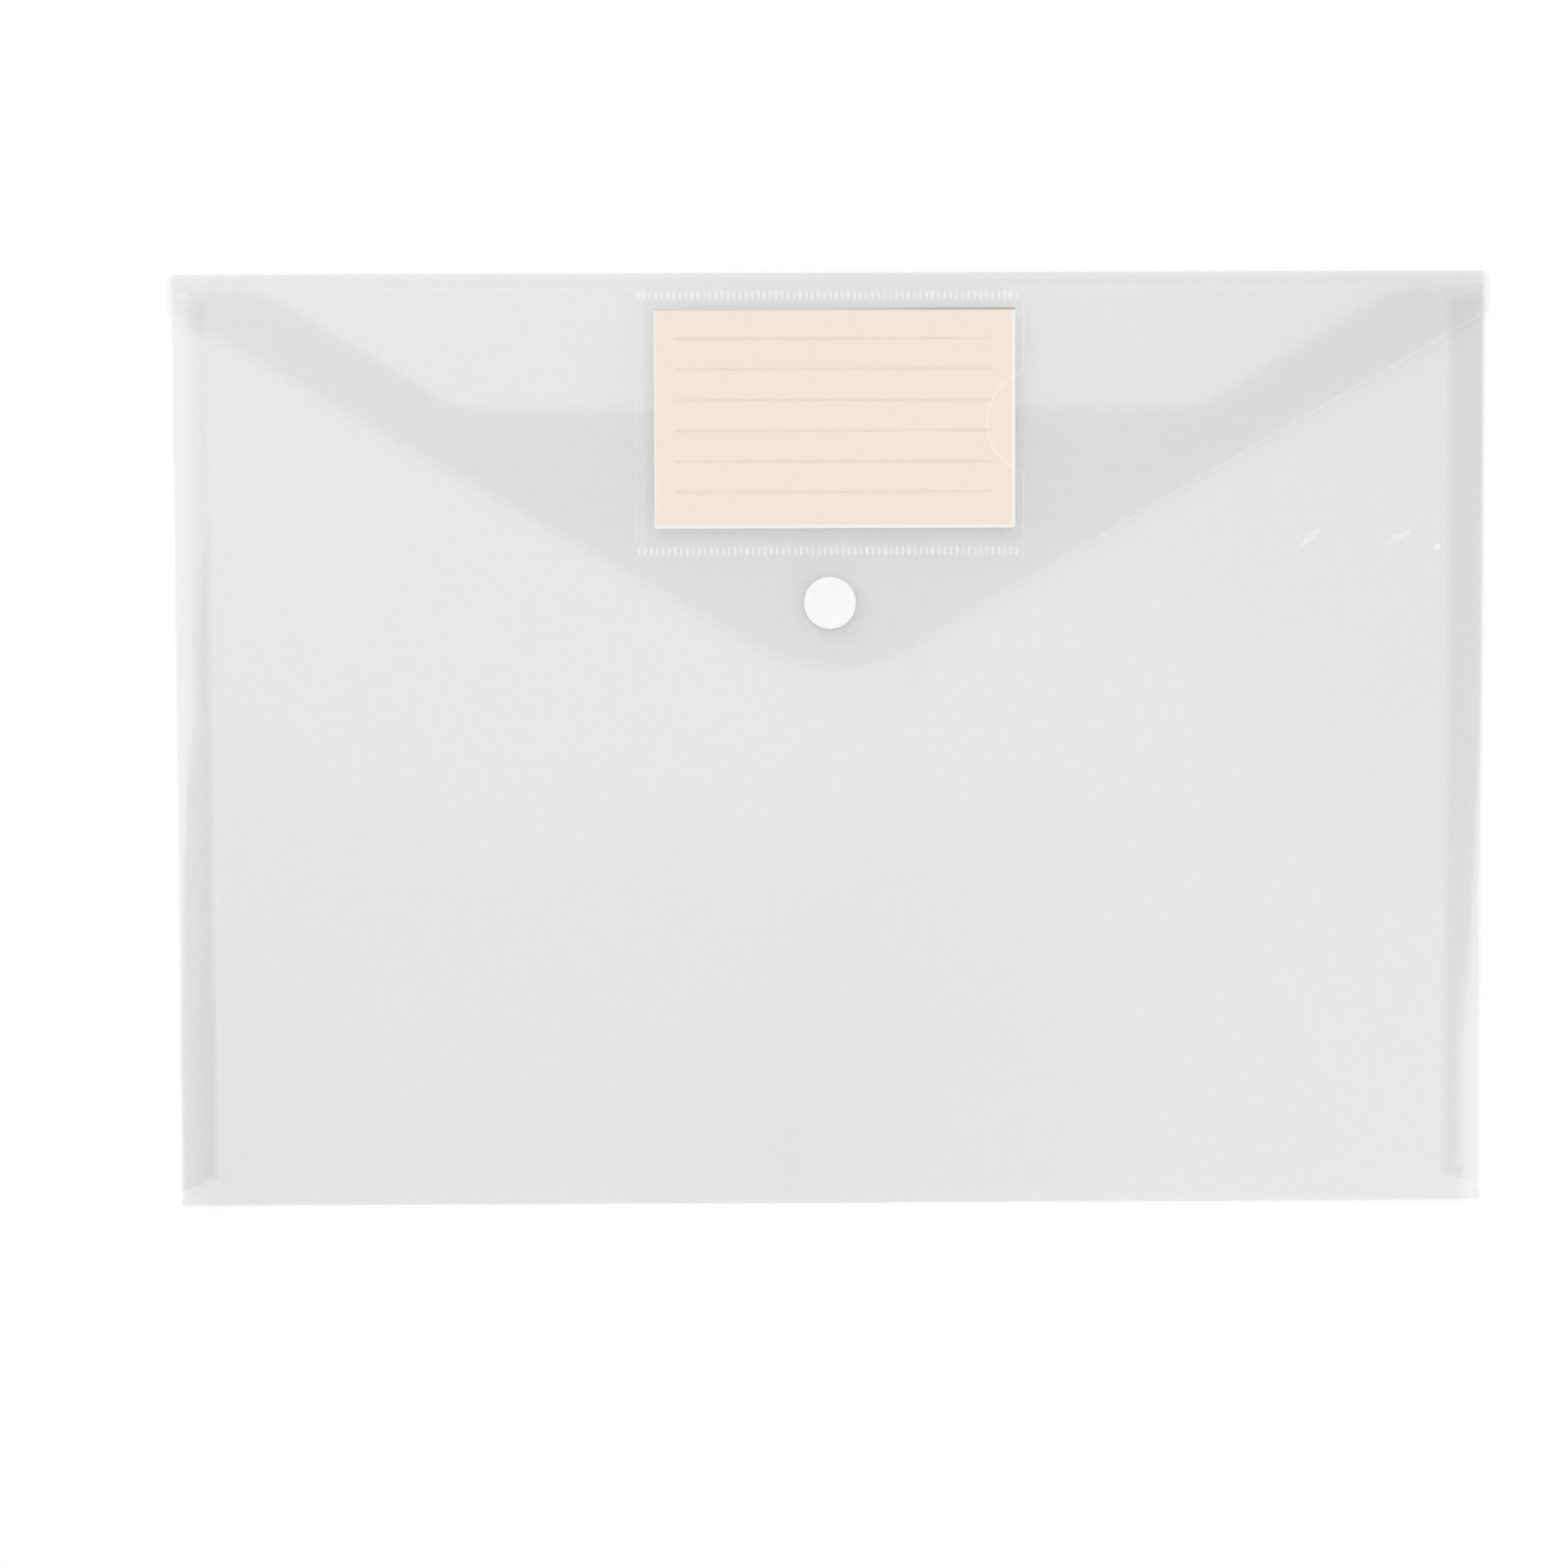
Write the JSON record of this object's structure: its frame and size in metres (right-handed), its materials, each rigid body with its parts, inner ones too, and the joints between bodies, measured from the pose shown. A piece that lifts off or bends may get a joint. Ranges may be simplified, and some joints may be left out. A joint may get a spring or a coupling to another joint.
{
  "type": "document wallet",
  "caption": "Flat see-through A4 document wallet with a pointed flap, a snap button and a label pocket that holds a ruled card.",
  "frame": {"origin": "middle of the rear panel's underside, on the surface that the wallet lies on", "axes": "+X to the right as seen from the front with the flap on top, +Y towards the top fold that the flap hangs from, +Z out of the front, towards the flap and the snap's cap"},
  "size_m": [0.33, 0.235, 0.01],
  "materials": {
    "frosted_film": "fine frosted see-through polypropylene film",
    "clear_film": "smooth clear film",
    "snap_plastic": "smooth white moulded plastic",
    "label_paper": "uncoated card, pale peach with faint ruled lines"
  },
  "bodies": {
    "pouch": {"rear_panel": "frosted_film", "bottom_fold": "frosted_film", "front_panel": "frosted_film", "left_side_fold": "frosted_film", "right_side_fold": "frosted_film", "left_weld_tab": "frosted_film", "right_weld_tab": "frosted_film", "top_fold_rear": "frosted_film", "snap_stud": "snap_plastic", "snap_stud_base": "snap_plastic"},
    "flap": {"top_fold_flap": "frosted_film", "flap_panel": "frosted_film", "label_pocket": "clear_film", "snap_cap": "snap_plastic", "snap_socket": "snap_plastic"},
    "card": {"label_card": "label_paper"}
  },
  "joints": [
    {"name": "flap_hinge", "type": "hinge", "parent": "pouch", "child": "flap", "pos_m": [0, 0.1175, 0.0044], "axis": [-1, 0, 0], "range_deg": [0, 180]},
    {"name": "card_slide", "type": "slide", "parent": "flap", "child": "card", "axis": [1, 0, 0], "range_m": [0, 0.085]}
  ]
}
